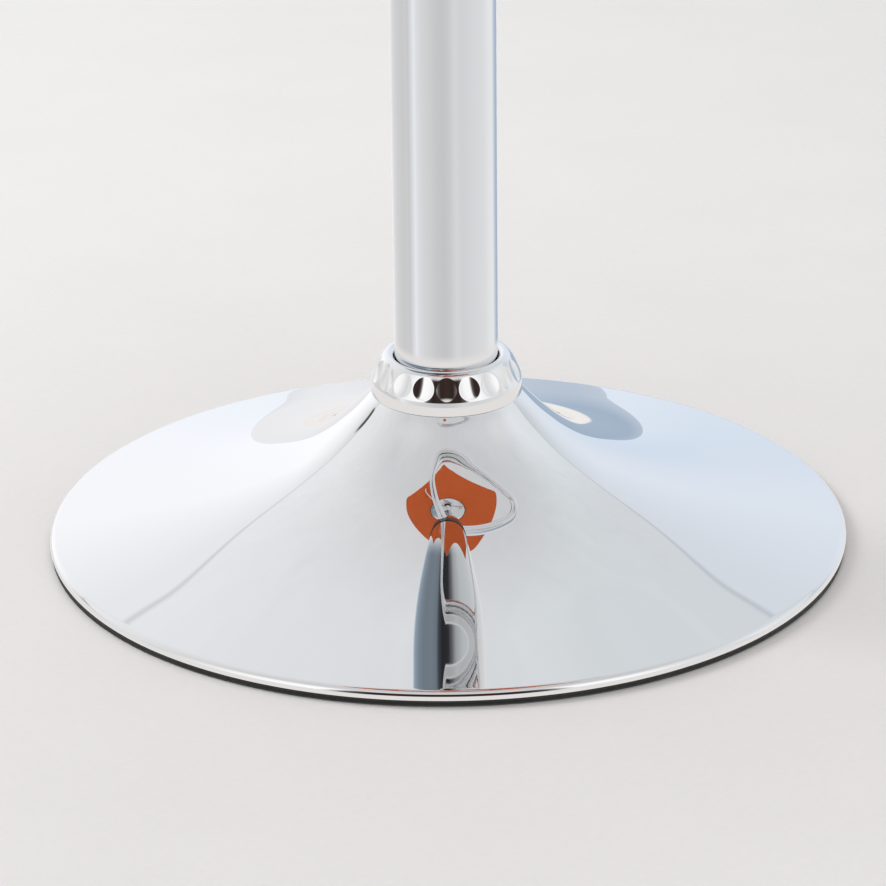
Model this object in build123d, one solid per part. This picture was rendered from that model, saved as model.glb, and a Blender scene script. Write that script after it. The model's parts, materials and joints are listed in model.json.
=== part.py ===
from build123d import *
import math
import os

# Adjustable swivel stool, millimetres.
# Frame: origin on the floor on the column axis, +Z up, the sitter faces -Y, the sitter's left is +X.

# ---------------------------------------------------------------- driving dimensions
# base dish (pressed steel trumpet), outer surface as radius, height, slope in degrees below level
DISH = [
    (31.0, 81.6, 52.4), (33.0, 79.0, 50.4), (34.8, 76.95, 46.6), (36.5, 75.28, 42.8), (38.0, 73.88, 44.2), (40.0, 71.9, 45.5),
    (42.5, 69.31, 46.3), (45.0, 66.72, 45.7), (48.0, 63.72, 44.2), (52.0, 59.96, 42.3), (56.0, 56.4, 41.0),
    (70.0, 46.0, 31.5), (90.0, 35.7, 23.6), (115.0, 26.3, 18.0), (145.0, 18.0, 13.4), (170.0, 12.4, 12.1), (191.0, 8.0, 11.6),
]
DISH_T = 2.0              # sheet thickness
BASE_R = 195.0            # outer radius of the rolled lip
LIP_BOTTOM = 3.1          # underside of the rolled lip, top of the rubber
LIP_INNER_R = 188.5

FLOOR_RING_R = 194.4      # rubber floor ring
FLOOR_RING_IN = 184.5

BALLAST_R = 124.0         # cast ballast ring under the dish
BALLAST_Z0, BALLAST_Z1 = 12.4, 19.4

SOCKET_R = 28.5           # welded taper socket
SOCKET_Z0, SOCKET_Z1 = 24.0, 84.0
TAPER = 0.025             # radius lost per mm of length

COLUMN_R = 25.0           # outer column tube
COLUMN_T = 1.5
COLUMN_Z0, COLUMN_ZT, COLUMN_Z1 = 24.0, 90.0, 294.0

COLLAR_R = 36.5           # domed collar with a ring of shallow dimples
COLLAR_Z0 = 76.0
DIMPLES = 19

RING_R, RING_Z1 = 25.9, 322.0     # black sleeve on top of the column
HUB_R, HUB_Z0, HUB_Z1 = 25.0, 262.0, 354.0   # footrest hub, with its spigot down inside the column
BUSH_BORE = 14.07                 # running bore for the gas cylinder
LOOP_Z = 344.0                    # footrest loop
LOOP_R = 149.0
LOOP_TUBE = 8.0
LOOP_WALL = 1.6
LOOP_HALF_ANGLE = 63.5
LOOP_CORNER = 33.0

ROD_R = 5.0               # piston rod
ROD_BORE = 5.06
ROD_Z0, ROD_Z1 = 20.7, 318.0
CYL_R = 14.0              # gas cylinder
CYL_BORE = 12.4
CYL_TOP_BORE = 11.4
CYL_Z0, CYL_Z1 = 255.0, 688.0
CYL_TAPER_Z = 640.0
STROKE = 200.0

PLATE_R = 69.0            # seat plate
PLATE_Z0, PLATE_Z1 = 699.0, 702.0
SPACER_R, SPACER_Z1 = 71.5, 704.0
BOLT_PCD = 105.0
BOLT_R = 3.95

PIVOT_X, PIVOT_Z = -30.0, 692.0   # release lever
LEVER_R = 3.5
LEVER_Z = 690.0
LEVER_END = -150.0

SEAT_Z0, SEAT_Z1 = 704.0, 776.0   # seat pad
COVER_T = 1.5
BOARD_Z0, BOARD_Z1 = 705.3, 717.3
# half outline of the seat, as (forward, sideways), from the front apex to the back apex
SEAT_HALF = [
    (200.5, 0.0), (199.5, 35.0), (196.5, 70.0), (191.5, 105.0), (184.5, 135.0), (179.9, 154.5), (175.9, 171.2), (172.4, 177.2),
    (166.3, 180.2), (150.0, 183.0), (116.0, 186.8), (60.0, 187.5), (10.0, 184.5), (-44.0, 177.5), (-90.0, 168.0), (-104.7, 164.9),
    (-110.6, 162.2), (-114.6, 157.0), (-120.0, 145.0), (-130.0, 122.5), (-139.5, 100.0), (-147.5, 70.0), (-152.2, 35.0), (-153.5, 0.0),
]

nodes = {}


def add(name, shape):
    nodes[name] = shape


def ring(points, a0=None):
    """Solid of revolution about Z from a closed (radius, height) polygon."""
    pl = Polyline(*[(r, 0, z) for r, z in points], close=True)
    return revolve(make_face(pl), Axis.Z, 360)


def tube(r_out, r_in, z0, z1):
    return ring([(r_in, z0), (r_out, z0), (r_out, z1), (r_in, z1)])


def rod_z(r, z0, z1, x=0.0, y=0.0):
    return Pos(x, y, z0) * Cylinder(r, z1 - z0, align=(Align.CENTER, Align.CENTER, Align.MIN))


def hex_z(flats, z0, z1, x=0.0, y=0.0):
    face = Pos(x, y, z0) * RegularPolygon(flats / math.sqrt(3), 6)
    return extrude(face, amount=z1 - z0)


def box(x0, x1, y0, y1, z0, z1):
    return Pos((x0 + x1) / 2, (y0 + y1) / 2, (z0 + z1) / 2) * Box(x1 - x0, y1 - y0, z1 - z0)


def polar(r, deg):
    return r * math.cos(math.radians(deg)), r * math.sin(math.radians(deg))


def group(shapes):
    return Compound(children=list(shapes))


# ---------------------------------------------------------------- base
inner = []
for r, z, a in DISH[:-1]:
    s = math.radians(a)
    inner.append((r - DISH_T * math.sin(s), z - DISH_T * math.cos(s)))
inner_end = (LIP_INNER_R, 8.0 + (191.0 - LIP_INNER_R) * math.tan(math.radians(11.6)) - DISH_T / math.cos(math.radians(11.6)))
inner.append(inner_end)


def hermite(points, n):
    """Profile through (radius, height, slope in degrees below level) points, n short straight runs to each span."""
    pts = []
    for (r0, z0, a0), (r1, z1, a1) in zip(points, points[1:]):
        h = r1 - r0
        m0, m1 = -math.tan(math.radians(a0)), -math.tan(math.radians(a1))
        for k in range(n):
            u = k / n
            pts.append((r0 + h * u, (2 * u**3 - 3 * u**2 + 1) * z0 + (u**3 - 2 * u**2 + u) * h * m0 + (3 * u**2 - 2 * u**3) * z1 + (u**3 - u**2) * h * m1))
    pts.append(points[-1][:2])
    return pts


outer_run = hermite(DISH, 3)
lip_run = [(192.6, 7.62), (193.7, 7.1), (194.6, 6.2), (BASE_R, 5.2), (194.9, 4.1), (194.4, LIP_BOTTOM)]
inner_run = [(r, z) for r, z in inner if r > 31.0]
dish_profile = (
    [(SOCKET_R, 81.4), (SOCKET_R, SOCKET_Z1), (29.6, SOCKET_Z1)] + outer_run + lip_run + [(LIP_INNER_R, LIP_BOTTOM)]
    + list(reversed(inner_run)) + [(29.6, 80.3)]
)
add("base_dish", ring(dish_profile))

add("floor_ring", ring([
    (FLOOR_RING_IN, 0.4), (FLOOR_RING_IN + 0.6, 0), (FLOOR_RING_R - 0.6, 0), (FLOOR_RING_R, 0.6), (FLOOR_RING_R, LIP_BOTTOM),
    (LIP_INNER_R, LIP_BOTTOM), (LIP_INNER_R, 6.2), (FLOOR_RING_IN + 1.6, 6.6), (FLOOR_RING_IN, 6.6),
]))


def column_r(z):
    return COLUMN_R - max(0.0, COLUMN_ZT - z) * TAPER


add("base_socket", ring([
    (column_r(SOCKET_Z0), SOCKET_Z0), (SOCKET_R, SOCKET_Z0), (SOCKET_R, SOCKET_Z1), (column_r(SOCKET_Z1), SOCKET_Z1),
]))


def inner_z(r):
    """Height of the dish's underside at a radius."""
    for (r0, z0), (r1, z1) in zip(inner, inner[1:]):
        if r0 <= r <= r1:
            return z0 + (z1 - z0) * (r - r0) / (r1 - r0)
    return inner[-1][1]


RIB_OUT = 62.0
rib_top = [(r, inner_z(r) - 1.2) for r in (30.5, 34.0, 38.0, 44.0, 52.0, RIB_OUT)]
rib_pts = [(SOCKET_R - 1.5, 30.0), (RIB_OUT, 30.0)] + [(r, z) for r, z in reversed(rib_top)] + [(SOCKET_R - 1.5, rib_top[0][1])]
rib_face = make_face(Polyline(*[(r, 0, z) for r, z in rib_pts], close=True))
rib0 = extrude(rib_face, amount=1.5, both=True, dir=(0, 1, 0)) - rod_z(SOCKET_R, 0, 100)
add("base_ribs", group([Rot(0, 0, 45 + 90 * i) * rib0 for i in range(4)]))

# cast ballast ring, hung on three welded studs
ballast = tube(BALLAST_R, 66.0, BALLAST_Z0, BALLAST_Z1)
stud_r = 96.0
for i in range(3):
    x, y = polar(stud_r, 90 + 120 * i)
    ballast -= rod_z(3.3, 0, 40, x, y)
add("ballast_ring", ballast)
studs, nuts = [], []
for i in range(3):
    x, y = polar(stud_r, 90 + 120 * i)
    studs.append(rod_z(3.0, 6.9, inner_z(stud_r + 3.2) - 0.2, x, y))
    nuts.append(hex_z(10.0, BALLAST_Z0 - 5.0, BALLAST_Z0, x, y) - rod_z(3.0, 0, 40, x, y))
add("ballast_studs", group(studs))
add("ballast_nuts", group(nuts))

# collar with its liner
collar = ring([
    (COLLAR_R, COLLAR_Z0), (COLLAR_R, 82.6), (36.2, 83.8), (35.6, 85.6), (34.6, 88.2), (33.3, 90.8), (32.0, 92.9), (31.0, 94.2),
    (30.2, 94.9), (28.6, 95.4), (27.0, 95.3), (26.0, 94.7), (25.5, 93.8), (25.45, 92.6), (25.45, 91.5),
    (27.8, 91.5), (29.6, 90.6), (31.2, 88.0), (33.0, 84.6), (34.2, 82.0), (34.8, 80.0), (35.0, 77.8), (36.1, COLLAR_Z0),
])
for i in range(DIMPLES):
    a = -39.3 - 90 + 360.0 / DIMPLES * i
    x, y = polar(50.0, a)
    ball = Pos(x, y, 97.5) * Sphere(18.6)
    collar -= ball
add("collar", collar)
add("collar_liner", tube(27.75, COLUMN_R + 0.05, SOCKET_Z1 + 0.1, 91.3))

# outer column: straight tube with a tapered foot
screw_z = 278.0
screw_dirs = (50.0, 130.0)
column = ring([
    (column_r(COLUMN_Z0) - COLUMN_T, COLUMN_Z0), (column_r(COLUMN_Z0), COLUMN_Z0), (COLUMN_R, COLUMN_ZT), (COLUMN_R, COLUMN_Z1),
    (COLUMN_R - COLUMN_T, COLUMN_Z1), (COLUMN_R - COLUMN_T, COLUMN_ZT),
])


def screw_cyl(r, r0, r1, deg):
    x, y = polar(1.0, deg)
    pl = Plane(origin=(x * r0, y * r0, screw_z), z_dir=(x, y, 0))
    return pl * Cylinder(r, r1 - r0, align=(Align.CENTER, Align.CENTER, Align.MIN))


for d in screw_dirs:
    column -= screw_cyl(2.6, 15.0, 30.0, d)
add("outer_column", column)
END_Z0, END_Z1 = 26.0, 29.0
add("column_end_plate", ring([
    (ROD_BORE, END_Z0), (column_r(END_Z0) - COLUMN_T, END_Z0), (column_r(END_Z1) - COLUMN_T, END_Z1), (ROD_BORE, END_Z1),
]))
add("thrust_washer_lower", tube(11.0, 5.4, END_Z1, END_Z1 + 1.0))

add("column_ring", ring([
    (23.5, COLUMN_Z1), (RING_R - 0.5, COLUMN_Z1), (RING_R, COLUMN_Z1 + 0.5), (RING_R, RING_Z1 - 0.8), (RING_R - 0.8, RING_Z1), (23.5, RING_Z1),
]))
hub = ring([
    (17.5, HUB_Z0), (23.42, HUB_Z0), (23.42, RING_Z1), (HUB_R, RING_Z1), (HUB_R, HUB_Z1 - 1.5), (HUB_R - 1.5, HUB_Z1), (17.5, HUB_Z1),
])
for d in screw_dirs:
    hub -= screw_cyl(2.5, 15.0, 30.0, d)
add("footrest_hub", hub)
add("hub_screws", group([screw_cyl(2.5, 18.0, 24.6, d) for d in screw_dirs]))
add("guide_bush", ring([
    (BUSH_BORE, HUB_Z0), (17.5, HUB_Z0), (17.5, HUB_Z1), (20.6, HUB_Z1), (20.6, HUB_Z1 + 2.2), (19.8, HUB_Z1 + 3.0), (15.0, HUB_Z1 + 3.0), (BUSH_BORE, HUB_Z1 + 2.0),
]))

# footrest: a fan-shaped loop, two straight arms joined by a front arc about the column axis
delta = math.degrees(math.asin(LOOP_CORNER / (LOOP_R - LOOP_CORNER)))
ca = LOOP_HALF_ANGLE - delta


def fl(r, deg, z=LOOP_Z):
    """Point at a radius and an angle from straight ahead, positive to the sitter's left."""
    t = math.radians(deg)
    return (r * math.sin(t), -r * math.cos(t), z)


arm_len = (LOOP_R - LOOP_CORNER) * math.cos(math.radians(delta))


def corner_mid(side):
    cx, cy, cz = fl(LOOP_R - LOOP_CORNER, side * ca)
    m = math.radians(side * (ca + (90 + delta) / 2.0))
    return (cx + LOOP_CORNER * math.sin(m), cy - LOOP_CORNER * math.cos(m), cz)


path = Wire([
    Edge.make_line(fl(18.0, LOOP_HALF_ANGLE), fl(arm_len, LOOP_HALF_ANGLE)),
    Edge.make_three_point_arc(fl(arm_len, LOOP_HALF_ANGLE), corner_mid(1), fl(LOOP_R, ca)),
    Edge.make_three_point_arc(fl(LOOP_R, ca), fl(LOOP_R, 0), fl(LOOP_R, -ca)),
    Edge.make_three_point_arc(fl(LOOP_R, -ca), corner_mid(-1), fl(arm_len, -LOOP_HALF_ANGLE)),
    Edge.make_line(fl(arm_len, -LOOP_HALF_ANGLE), fl(18.0, -LOOP_HALF_ANGLE)),
])
p0 = fl(18.0, LOOP_HALF_ANGLE)
t = math.radians(LOOP_HALF_ANGLE)
start = Plane(origin=p0, z_dir=(math.sin(t), -math.cos(t), 0))
loop = sweep(start * Circle(LOOP_TUBE), path=path) - sweep(start * Circle(LOOP_TUBE - LOOP_WALL), path=path)
loop -= rod_z(HUB_R, 300, 400)
add("footrest_loop", loop)

# ---------------------------------------------------------------- spindle: what turns on the column's foot
CLIP_Z0, CLIP_Z1 = 22.9, 24.1
rod = ring([
    (0, ROD_Z0), (4.3, ROD_Z0), (ROD_R, ROD_Z0 + 0.7), (ROD_R, CLIP_Z0 - 0.05), (4.0, CLIP_Z0 - 0.05), (4.0, CLIP_Z1 + 0.05),
    (ROD_R, CLIP_Z1 + 0.05), (ROD_R, 296.0), (4.0, 296.0), (4.0, ROD_Z1), (0, ROD_Z1),
])
add("piston_rod", rod)
clip = tube(8.5, 4.0, CLIP_Z0, CLIP_Z1) - box(-2.6, 2.6, 0, 12, CLIP_Z0 - 1, CLIP_Z1 + 1)
add("rod_clip", clip)
add("rod_washer", tube(11.0, ROD_R + 0.05, CLIP_Z1, CLIP_Z1 + 1.5))
BALL_R, BALL_PITCH = 2.0, 8.4
BALL_Z = END_Z1 + 1.0 + 0.3 + BALL_R
balls = [Pos(*polar(BALL_PITCH, 360 / 9 * i), BALL_Z) * Sphere(BALL_R) for i in range(9)]
add("bearing_balls", group(balls))
cage = tube(11.0, 5.9, BALL_Z - 0.7, BALL_Z + 0.7)
for i in range(9):
    x, y = polar(BALL_PITCH, 360 / 9 * i)
    cage -= rod_z(BALL_R + 0.08, 0, 60, x, y)
add("bearing_cage", cage)
WU = BALL_Z + BALL_R
add("thrust_washer_upper", tube(11.0, ROD_R + 0.03, WU, WU + 1.0))
add("bump_stop", ring([(ROD_R + 0.05, WU + 1.0), (13.0, WU + 1.0), (13.0, WU + 4.0), (10.0, WU + 10.0), (ROD_R + 0.05, WU + 10.0)]))
add("piston", tube(CYL_BORE - 0.08, 4.05, 296.0, 311.0))
add("piston_nut", hex_z(13.0, 311.0, 316.0) - rod_z(4.0, 300, 330))

# ---------------------------------------------------------------- seat carrier
cyl_top_r = CYL_R - (CYL_Z1 - CYL_TAPER_Z) * TAPER
add("gas_cylinder", ring([
    (CYL_BORE, CYL_Z0), (CYL_R - 0.8, CYL_Z0), (CYL_R, CYL_Z0 + 0.8), (CYL_R, CYL_TAPER_Z), (cyl_top_r, CYL_Z1), (CYL_TOP_BORE, CYL_Z1),
    (CYL_TOP_BORE, 645.0), (CYL_BORE, 643.0),
]))
add("rod_guide", tube(CYL_BORE, ROD_BORE, CYL_Z0 + 2.0, CYL_Z0 + 32.0))
add("valve_block", ring([
    (3.06, 648.0), (CYL_TOP_BORE, 648.0), (CYL_TOP_BORE, 686.0), (3.06, 686.0),
]))

HUB2_R = 19.0
taper_hub = ring([
    (CYL_R, 638.0), (HUB2_R - 1.0, 638.0), (HUB2_R, 639.0), (HUB2_R, PLATE_Z0), (cyl_top_r, PLATE_Z0), (cyl_top_r, CYL_Z1), (CYL_R, CYL_TAPER_Z),
])
taper_hub -= box(-24, 0, -6.0, 6.0, 689.4, 705)
add("taper_hub", taper_hub)

bolt_xy = [polar(BOLT_PCD / 2, 45 + 90 * i) for i in range(4)]
plate = ring([
    (0, PLATE_Z0), (PLATE_R - 1.0, PLATE_Z0), (PLATE_R, PLATE_Z0 + 1.0), (PLATE_R, PLATE_Z1), (0, PLATE_Z1),
])
spacer = rod_z(SPACER_R, PLATE_Z1, SPACER_Z1)
for x, y in bolt_xy:
    plate -= rod_z(4.25, 690, 710, x, y)
    spacer -= rod_z(4.25, 690, 710, x, y)
add("seat_plate", plate)
add("plate_spacer", spacer)
add("bolt_washers", group([tube(8.0, 4.2, PLATE_Z0 - 1.5, PLATE_Z0).moved(Location((x, y, 0))) for x, y in bolt_xy]))
bolts = []
for x, y in bolt_xy:
    head = hex_z(13.0, PLATE_Z0 - 6.8, PLATE_Z0 - 1.5, x, y)
    bolts.append(head + rod_z(BOLT_R, PLATE_Z0 - 2.5, 716.6, x, y))
add("plate_bolts", group(bolts))

ears = []
for s in (-1, 1):
    y0, y1 = sorted((s * 5.5, s * 7.5))
    ear = box(-38, -22, y0, y1, 686.5, PLATE_Z0)
    ear -= Pos(PIVOT_X, 0, PIVOT_Z) * Rot(90, 0, 0) * Cylinder(2.0, 40)
    ears.append(ear)
add("lever_bracket", group(ears))
pin = Pos(PIVOT_X, 0, PIVOT_Z) * Rot(90, 0, 0) * Cylinder(2.0, 20.0)
pin += Pos(PIVOT_X, -8.5, PIVOT_Z) * Rot(90, 0, 0) * Cylinder(3.4, 2.0)
add("pivot_pin", pin)
pclip = Pos(PIVOT_X, 8.2, PIVOT_Z) * Rot(90, 0, 0) * (Cylinder(4.0, 0.8) - Cylinder(2.0, 2.0))
add("pivot_clip", pclip)

# ---------------------------------------------------------------- seat pad
half = SEAT_HALF
full = [(s, -f) for f, s in half] + [(-s, -f) for f, s in reversed(half[1:-1])]


def outline(offset):
    """Outline points moved outward by an offset; x is sideways, y is backward."""
    n = len(full)
    pts = []
    for i, (x, y) in enumerate(full):
        (xa, ya), (xb, yb) = full[i - 1], full[(i + 1) % n]
        tx, ty = xb - xa, yb - ya
        L = math.hypot(tx, ty)
        pts.append((x + ty / L * -offset * -1, y - tx / L * offset))
    return pts


def pad(offset, z0, z1, fillet_top=0.0, fillet_bottom=0.0):
    pts = outline(offset)
    sp = Spline(*[(x, y, z0) for x, y in pts], periodic=True)
    body = extrude(make_face(sp), amount=z1 - z0, dir=(0, 0, 1))
    if fillet_top:
        body = fillet(body.edges().group_by(Axis.Z)[-1], fillet_top)
    if fillet_bottom:
        body = fillet(body.edges().group_by(Axis.Z)[0], fillet_bottom)
    return body


cover = pad(0, SEAT_Z0, SEAT_Z1, 8.0) - pad(-COVER_T, SEAT_Z0 - 1, SEAT_Z1 - COVER_T, 6.5)
add("seat_cover", cover)
under = pad(-COVER_T - 0.1, SEAT_Z0, BOARD_Z0)
board = pad(-COVER_T - 0.4, BOARD_Z0, BOARD_Z1)
foam = pad(-COVER_T - 0.2, BOARD_Z1, SEAT_Z1 - COVER_T - 0.2, 6.3)
tees = []
for x, y in bolt_xy:
    under -= rod_z(4.3, 690, 720, x, y)
    board -= rod_z(5.2, 690, 720, x, y)
    foam -= rod_z(9.6, 700, BOARD_Z1 + 1.3, x, y)
    tees.append((rod_z(9.5, BOARD_Z1, BOARD_Z1 + 1.2, x, y) + rod_z(5.15, 708.0, BOARD_Z1, x, y)) - rod_z(4.0, 700, 730, x, y))
add("seat_underpanel", under)
add("seat_board", board)
add("seat_foam", foam)
add("tee_nuts", group(tees))
add("seat_piping", pad(1.5, SEAT_Z0 + 1.0, SEAT_Z0 + 5.0) - pad(0.05, SEAT_Z0 - 1.0, SEAT_Z0 + 7.0))

# ---------------------------------------------------------------- release lever and valve pin
lever_path = FilletPolyline((PIVOT_X - 2.0, 0, LEVER_Z), (LEVER_END, 0, LEVER_Z), (LEVER_END - 11.0, -9.0, LEVER_Z - 1.0), radius=9.0)
lever_rod = sweep(Plane(origin=(PIVOT_X - 2.0, 0, LEVER_Z), z_dir=(-1, 0, 0)) * Circle(LEVER_R), path=lever_path)
lever = lever_rod + box(-37, -24, -4.8, 4.8, 686.5, 697.3) + box(-24.5, 5.0, -4.5, 4.5, 694.3, 697.3)
lever -= Pos(PIVOT_X, 0, PIVOT_Z) * Rot(90, 0, 0) * Cylinder(2.06, 40)
add("release_lever", lever)
add("valve_pin", ring([(0, 655.0), (3.0, 655.0), (3.0, 691.0), (4.5, 691.0), (4.5, 693.4), (3.9, 694.0), (0, 694.0)]))

# ---------------------------------------------------------------- export
if __name__ == "__main__":
    os.makedirs("parts", exist_ok=True)
    for old in os.listdir("parts"):
        if old.endswith(".step") and old[:-5] not in nodes:
            os.remove(os.path.join("parts", old))
    for name, shape in nodes.items():
        if isinstance(shape, (list, ShapeList)):
            shape = Compound(children=list(shape))
        shape.label = name
        export_step(shape, f"parts/{name}.step")
        bb = shape.bounding_box()
        print(f"{name:22s} {len(shape.solids()):2d} solids  {shape.volume/1000:9.2f} cm3  z {bb.min.Z:7.2f} {bb.max.Z:7.2f}")
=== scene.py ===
import bpy
import bmesh
import json
import math
import numpy as np
from mathutils import Vector, Matrix, noise
from mathutils.bvhtree import BVHTree


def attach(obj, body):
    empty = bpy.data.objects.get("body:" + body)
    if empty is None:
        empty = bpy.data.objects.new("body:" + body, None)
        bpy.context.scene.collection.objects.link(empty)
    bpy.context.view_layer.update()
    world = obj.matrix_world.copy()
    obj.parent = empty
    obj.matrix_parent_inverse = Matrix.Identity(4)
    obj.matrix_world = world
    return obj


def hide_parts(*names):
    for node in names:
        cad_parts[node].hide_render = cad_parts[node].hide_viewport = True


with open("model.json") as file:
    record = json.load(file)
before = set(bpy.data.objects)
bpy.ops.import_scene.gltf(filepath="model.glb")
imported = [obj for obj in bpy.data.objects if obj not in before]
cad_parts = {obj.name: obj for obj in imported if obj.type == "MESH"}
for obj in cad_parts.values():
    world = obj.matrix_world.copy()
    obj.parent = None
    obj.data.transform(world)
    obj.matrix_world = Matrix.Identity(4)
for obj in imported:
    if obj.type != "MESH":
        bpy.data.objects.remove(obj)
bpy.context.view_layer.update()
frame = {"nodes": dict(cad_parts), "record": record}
NODES = frame["nodes"]
scene = bpy.context.scene
scene.view_settings.view_transform = "Standard"
scene.view_settings.look = "None"

TURN = math.radians(-39.27)      # the studio's straight-ahead axis, turned into the stool's own frame
COL = bpy.context.scene.collection


# ------------------------------------------------------------------ small tools
def lin(c):
    """Linear value of an 8-bit display value."""
    s = c / 255.0
    return s / 12.92 if s <= 0.04045 else ((s + 0.055) / 1.055) ** 2.4


def rgb(r, g, b, gain=1.0):
    return (lin(r) * gain, lin(g) * gain, lin(b) * gain, 1.0)


class Graph:
    """Short hand for building a node tree."""

    def __init__(self, tree):
        self.t = tree
        self.n = tree.nodes
        self.l = tree.links

    def put(self, sock, v):
        if isinstance(v, bpy.types.NodeSocket):
            self.l.new(v, sock)
        elif v is not None:
            if hasattr(sock.default_value, "__len__") and not hasattr(v, "__len__"):
                v = [v] * len(sock.default_value)
            sock.default_value = v

    def math(self, op, a, b=None, c=None, clamp=False):
        n = self.n.new("ShaderNodeMath")
        n.operation = op
        n.use_clamp = clamp
        for s, v in zip(n.inputs, (a, b, c)):
            self.put(s, v)
        return n.outputs[0]

    def vmath(self, op, a, b=None, scale=None):
        n = self.n.new("ShaderNodeVectorMath")
        n.operation = op
        self.put(n.inputs[0], a)
        if b is not None:
            self.put(n.inputs[1], b)
        if scale is not None:
            self.put(n.inputs["Scale"], scale)
        return n.outputs["Value"] if op in ("LENGTH", "DOT_PRODUCT", "DISTANCE") else n.outputs[0]

    def mix(self, f, a, b, blend="MIX"):
        n = self.n.new("ShaderNodeMix")
        n.data_type = "RGBA"
        n.blend_type = blend
        n.clamp_factor = True
        self.put(n.inputs[0], f)
        self.put(n.inputs[6], a)
        self.put(n.inputs[7], b)
        return n.outputs[2]

    def step(self, x, lo, hi):
        n = self.n.new("ShaderNodeMapRange")
        n.interpolation_type = "SMOOTHSTEP"
        self.put(n.inputs[0], x)
        n.inputs[1].default_value = lo
        n.inputs[2].default_value = hi
        return n.outputs[0]

    def lerp(self, x, lo, hi, a, b):
        n = self.n.new("ShaderNodeMapRange")
        self.put(n.inputs[0], x)
        for i, v in enumerate((lo, hi, a, b)):
            n.inputs[i + 1].default_value = v
        return n.outputs[0]

    def ramp(self, f, stops, ease="LINEAR"):
        n = self.n.new("ShaderNodeValToRGB")
        n.color_ramp.interpolation = ease
        els = n.color_ramp.elements
        els[0].position, els[0].color = stops[0][0], stops[0][1]
        els[1].position, els[1].color = stops[-1][0], stops[-1][1]
        for p, c in stops[1:-1]:
            e = els.new(p)
            e.color = c
        self.put(n.inputs[0], f)
        return n.outputs[0]

    def noise(self, vec, scale, detail=2.0, rough=0.5, dist=0.0):
        n = self.n.new("ShaderNodeTexNoise")
        self.put(n.inputs["Vector"], vec)
        n.inputs["Scale"].default_value = scale
        n.inputs["Detail"].default_value = detail
        n.inputs["Roughness"].default_value = rough
        n.inputs["Distortion"].default_value = dist
        return n.outputs[0]

    def voronoi(self, vec, scale, feature="F1", rand=1.0, out=0):
        n = self.n.new("ShaderNodeTexVoronoi")
        n.feature = feature
        self.put(n.inputs["Vector"], vec)
        n.inputs["Scale"].default_value = scale
        n.inputs["Randomness"].default_value = rand
        return n.outputs[out]

    def wave(self, vec, scale, dist=0.0, detail=2.0, dscale=1.0, kind="BANDS", direction="X"):
        n = self.n.new("ShaderNodeTexWave")
        n.wave_type = kind
        if kind == "BANDS":
            n.bands_direction = direction
        else:
            n.rings_direction = direction
        self.put(n.inputs["Vector"], vec)
        n.inputs["Scale"].default_value = scale
        n.inputs["Distortion"].default_value = dist
        n.inputs["Detail"].default_value = detail
        n.inputs["Detail Scale"].default_value = dscale
        return n.outputs[1]

    def scale(self, vec, s):
        n = self.n.new("ShaderNodeMapping")
        self.put(n.inputs[0], vec)
        n.inputs["Scale"].default_value = s
        return n.outputs[0]

    def bump(self, height, strength, distance, normal=None):
        n = self.n.new("ShaderNodeBump")
        n.inputs["Strength"].default_value = strength
        n.inputs["Distance"].default_value = distance
        self.put(n.inputs["Height"], height)
        if normal is not None:
            self.put(n.inputs["Normal"], normal)
        return n.outputs[0]


def material(name, base, metallic=0.0, rough=0.5, **extra):
    """A Principled material; base and rough are constants until they are linked."""
    m = bpy.data.materials.new(name)
    m.use_nodes = True
    g = Graph(m.node_tree)
    p = m.node_tree.nodes["Principled BSDF"]
    p.inputs["Base Color"].default_value = base
    p.inputs["Metallic"].default_value = metallic
    p.inputs["Roughness"].default_value = rough
    for k, v in extra.items():
        p.inputs[k.replace("_", " ")].default_value = v
    tc = m.node_tree.nodes.new("ShaderNodeTexCoord")
    return m, g, p, tc.outputs["Object"]


# ------------------------------------------------------------------ camera
D, TH, F = 1.93524, 0.413126732, 3928.139
PITCH, YAW, ROLL = 0.390322355, -0.00111833581, -0.0106368461
cpos = Vector((0, -D * math.cos(TH), D * math.sin(TH)))
fw = Vector((math.sin(YAW) * math.cos(PITCH), math.cos(YAW) * math.cos(PITCH), -math.sin(PITCH)))
r0 = fw.cross(Vector((0, 0, 1))).normalized()
u0 = r0.cross(fw)
rr = r0 * math.cos(ROLL) + u0 * math.sin(ROLL)
uu = -r0 * math.sin(ROLL) + u0 * math.cos(ROLL)
turn = Matrix.Rotation(TURN, 3, "Z")
cam_data = bpy.data.cameras.new("camera")
cam = bpy.data.objects.new("camera", cam_data)
COL.objects.link(cam)
cam_data.sensor_width = 36.0
cam_data.lens = F / 886.0 * 36.0
cam_data.clip_end = 200.0
rot = Matrix((turn @ rr, turn @ uu, turn @ -fw)).transposed().to_4x4()
rot.translation = turn @ cpos
cam.matrix_world = rot
scene.camera = cam

# ------------------------------------------------------------------ studio: what the chrome mirrors
# The studio is a pale cloth overhead, a white wall behind with a cooler right half, bright soft boxes each
# side of the camera and a dark gap between them. Colours are as they look in the chrome, so they are
# divided by the chrome's own reflectance.
CHROME = 0.80


def seen(r, g=None, b=None, bounces=1):
    g = r if g is None else g
    b = r if b is None else b
    k = CHROME ** bounces
    return (lin(r) / k, lin(g) / k, lin(b) / k, 1.0)


def az_ramp(g, t, stops, bounces=1):
    """Colour round the studio from (azimuth, colour) stops; the ends are joined."""
    stops = sorted(stops)
    first, last = stops[0], stops[-1]
    span = first[0] + 360 - last[0]
    k = (180 - last[0]) / span if span else 0
    edge = tuple(a + (b - a) * k for a, b in zip(last[1], first[1]))
    full = [(0.0, seen(*edge, bounces=bounces))]
    full += [((a + 180) / 360.0, seen(*c, bounces=bounces)) for a, c in stops if -180 < a < 180]
    full += [(1.0, seen(*edge, bounces=bounces))]
    return g.ramp(t, full)


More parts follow.
